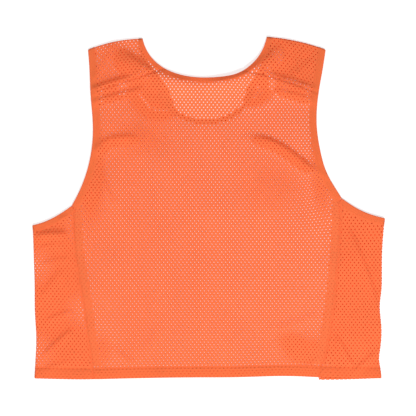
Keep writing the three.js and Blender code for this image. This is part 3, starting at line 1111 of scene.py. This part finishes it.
class VEST_OT_seam_tapes(bpy.types.Operator):
    """Lays a tape behind each side seam, inside the vest."""

    bl_idname = "vest.seam_tapes"
    bl_label = "Seam Tapes"

    def execute(self, context):
        top = SEAM_TOP[1] - 2
        for name, side in SIDES.items():
            line = np.array([(seam_x(top), top), (seam_x(HEM_TOP), HEM_TOP)])
            line = evenly(line, PATH_STEP)
            length = walk(line)[-1]
            for layer in LAYERS:
                steps = round(length / PATH_STEP)
                bm = strip_sheet(length, TAPE_WIDTH + SEAM_LAP, steps, rows=8)
                pattern = points_of(bm)
                flat_map(bm, pattern)
                at = along(line, pattern[:, 0], pattern[:, 1] - SEAM_LAP) * (side, 1)
                curl = TAPE_WAVE * np.sin(pattern[:, 0] / 9) + TAPE_LEVEL
                place = place_back if layer == "back" else place_front
                move_points(bm, place(np.column_stack([at, curl])))
                settle(bm)
                bmesh.ops.recalc_face_normals(bm, faces=bm.faces)
                lead = f"{name}_{layer}"
                piece = finish_piece(bm, f"{lead}_tape", "seam_tape", f"{lead}_seam_tape")
                follow(piece)
        return {"FINISHED"}


# ---- Stitches ----
def stitch_row(name, line, place, node, height=0.12, side=None):
    """A row of lock stitches that sinks into the cloth at each end of every stitch."""
    sewing = bpy.context.scene.vest_sewing
    stitch, thread = sewing.stitch / MM, sewing.thread / MM
    step = stitch + sewing.gap / MM
    line = evenly(line, 3)
    count = int(walk(line)[-1] // step)
    bm = bmesh.new()
    lengthwise = Matrix.Rotation(math.pi / 2, 4, "Y")
    bmesh.ops.create_uvsphere(bm, u_segments=6, v_segments=5, radius=0.5, matrix=lengthwise)
    bmesh.ops.scale(bm, vec=(stitch, thread, thread), verts=bm.verts)
    bmesh.ops.translate(bm, vec=(step / 2, 0, 0), verts=bm.verts)
    repeat(bm, count, (step, 0, 0))
    co = points_of(bm)
    at = along(line, co[:, 0], co[:, 1])
    move_points(bm, place(np.column_stack([at, co[:, 2] + height])))
    settle(bm)
    bmesh.ops.recalc_face_normals(bm, faces=bm.faces)
    follow(finish_piece(bm, name, "sewing_thread", node), side)


class VEST_OT_stitches(bpy.types.Operator):
    """Sews every row of stitches: hems, bindings, side seams and shoulder seams."""

    bl_idname = "vest.stitches"
    bl_label = "Stitches"

    def execute(self, context):
        on_band = BINDING_PROUD + 0.2
        for layer in LAYERS:
            place = place_back if layer == "back" else place_front
            hem_y = HEM_TOP - STITCH_INSET
            end = seam_x(hem_y) - 1
            hem = np.array([(-end, hem_y), (end, hem_y)])
            stitch_row(f"{layer}_hem_thread", hem, place, f"{layer}_hem_stitching")
            half = neck_curve(layer)
            neck = joined(half, flipped(half[::-1], LEFT))
            neck = neck - normals_of(neck) * (NECK_BAND - STITCH_INSET / 2)
            stitch_row(f"{layer}_neck_thread", neck, place, f"{layer}_neck_stitching", height=on_band)
            for name, side in SIDES.items():
                self.side_rows(name, side, layer, place, hem_y, on_band)
        return {"FINISHED"}

    def side_rows(self, name, side, layer, place, hem_y, on_band):
        """Sews the rows of one side of the vest in one layer."""
        lead = f"{name}_{layer}"
        inset = ARM_BAND - STITCH_INSET
        arm = flipped(ARMHOLE + normals_of(ARMHOLE) * inset, side)[:-1]
        stitch_row(f"{lead}_arm_thread", arm, place, f"{lead}_armhole_stitching", height=on_band)
        under = flipped(UNDER + normals_of(UNDER) * inset, side)[1:-1]
        node = f"{lead}_underarm_stitching"
        stitch_row(f"{lead}_underarm_thread", under, place, node, height=on_band, side=name)
        hem = np.array([(seam_x(hem_y) + 1, hem_y), (HEM_CORNER[0] - SIDE_ROW_END, hem_y)]) * (side, 1)
        stitch_row(f"{lead}_side_hem_thread", hem, place, f"{lead}_side_hem_stitching", side=name)
        top, low = SEAM_TOP[1] - ARM_BAND, HEM_TOP + 2
        seam = np.array([(seam_x(top) - STITCH_INSET, top), (seam_x(low) - STITCH_INSET, low)]) * (side, 1)
        stitch_row(f"{lead}_seam_thread", seam, place, f"{lead}_seam_stitching")
        half = neck_curve(layer)
        meets_yoke = np.argmax(half[:, 1] < yoke_y(half[:, 0], layer))
        inner = half[meets_yoke, 0] + NECK_BAND + YOKE_ROW_GAPS[0]
        outer = SHOULDER_TIP[0] - ARM_BAND - YOKE_ROW_GAPS[1]
        ends = np.array([(x, yoke_y(x, layer) - STITCH_INSET) for x in (inner, outer)]) * (side, 1)
        stitch_row(f"{lead}_shoulder_thread", ends, place, f"{lead}_shoulder_stitching")


# ---- Stage ----
class VEST_OT_stage(bpy.types.Operator):
    """Sets out the pale table, the soft studio light and the camera above the vest."""

    bl_idname = "vest.stage"
    bl_label = "Stage"

    def execute(self, context):
        stage = context.scene.vest_stage
        scene = context.scene
        bm = bmesh.new()
        bmesh.ops.create_grid(bm, x_segments=2, y_segments=2, size=6)
        bmesh.ops.translate(bm, verts=bm.verts, vec=(0, 0, -0.0004))
        mesh = bpy.data.meshes.new("table_top")
        bm.to_mesh(mesh)
        bm.free()
        table = bpy.data.objects.new("table_top", mesh)
        scene.collection.objects.link(table)
        mesh.materials.append(self.table_material(stage))
        self.light("key_light", (0.7, -2.0, 2.8), 1.2, stage.key)
        self.light("side_light", (-2.2, 0.6, 2.5), 2.2, stage.key * 0.2)
        world = bpy.data.worlds.new("studio")
        world.use_nodes = True
        world.node_tree.nodes["Background"].inputs["Color"].default_value = (1, 1, 1, 1)
        world.node_tree.nodes["Background"].inputs["Strength"].default_value = stage.fill
        scene.world = world
        camera = bpy.data.objects.new("camera", bpy.data.cameras.new("camera"))
        scene.collection.objects.link(camera)
        camera.data.sensor_width = 36
        camera.data.lens = stage.lens
        camera.data.clip_end = 20
        camera.location = (0, 0, stage.view * stage.lens / camera.data.sensor_width)
        scene.camera = camera
        scene.view_settings.view_transform = "Standard"
        return {"FINISHED"}

    def table_material(self, stage):
        """A smooth white top that partly lights itself, as a light table does."""
        material = bpy.data.materials.new("table_white")
        material.use_nodes = True
        shader = material.node_tree.nodes["Principled BSDF"]
        shader.inputs["Base Color"].default_value = (0.47, 0.47, 0.47, 1)
        shader.inputs["Roughness"].default_value = 0.9
        shader.inputs["Specular IOR Level"].default_value = 0.0
        shader.inputs["Emission Color"].default_value = (1, 1, 1, 1)
        shader.inputs["Emission Strength"].default_value = stage.glow
        return material

    def light(self, name, place, size, power):
        """A round soft light that faces the middle of the vest."""
        lamp = bpy.data.lights.new(name, "AREA")
        lamp.shape = "DISK"
        lamp.size = size
        lamp.energy = power
        lamp_object = bpy.data.objects.new(name, lamp)
        bpy.context.scene.collection.objects.link(lamp_object)
        lamp_object.location = place
        lamp_object.rotation_euler = (-Vector(place)).to_track_quat("-Z", "Y").to_euler()


class VEST_PT_panel(bpy.types.Panel):
    """Lists the steps that make the vest."""

    bl_idname = "VEST_PT_panel"
    bl_label = "Mesh Vest"
    bl_space_type = "VIEW_3D"
    bl_region_type = "UI"
    bl_category = "Vest"

    def draw(self, context):
        scene = context.scene
        for group in (scene.vest_knit, scene.vest_sewing, scene.vest_dye, scene.vest_stage):
            box = self.layout.box()
            for name in group.bl_rna.properties.keys():
                if name not in ("rna_type", "name"):
                    box.prop(group, name)
        for operator in OPERATORS:
            self.layout.operator(operator.bl_idname)


OPERATORS = (
    VEST_OT_stage,
    VEST_OT_body_panels,
    VEST_OT_side_panels,
    VEST_OT_shoulder_yokes,
    VEST_OT_bindings,
    VEST_OT_hems,
    VEST_OT_seam_tapes,
    VEST_OT_stitches,
)
GROUPS = {"vest_knit": VestKnit, "vest_sewing": VestSewing, "vest_dye": VestDyeAndShade, "vest_stage": VestStage}


def register():
    for group in GROUPS.values():
        bpy.utils.register_class(group)
    for name, group in GROUPS.items():
        setattr(bpy.types.Scene, name, PointerProperty(type=group))
    for item in (*OPERATORS, VEST_PT_panel):
        bpy.utils.register_class(item)


def unregister():
    for item in (VEST_PT_panel, *reversed(OPERATORS)):
        bpy.utils.unregister_class(item)
    for name, group in GROUPS.items():
        delattr(bpy.types.Scene, name)
        bpy.utils.unregister_class(group)


def main():
    register()
    bpy.ops.vest.stage()
    bpy.ops.vest.body_panels()
    bpy.ops.vest.side_panels()
    bpy.ops.vest.shoulder_yokes()
    bpy.ops.vest.bindings()
    bpy.ops.vest.hems()
    bpy.ops.vest.seam_tapes()
    bpy.ops.vest.stitches()


if __name__ == "__main__":
    main()
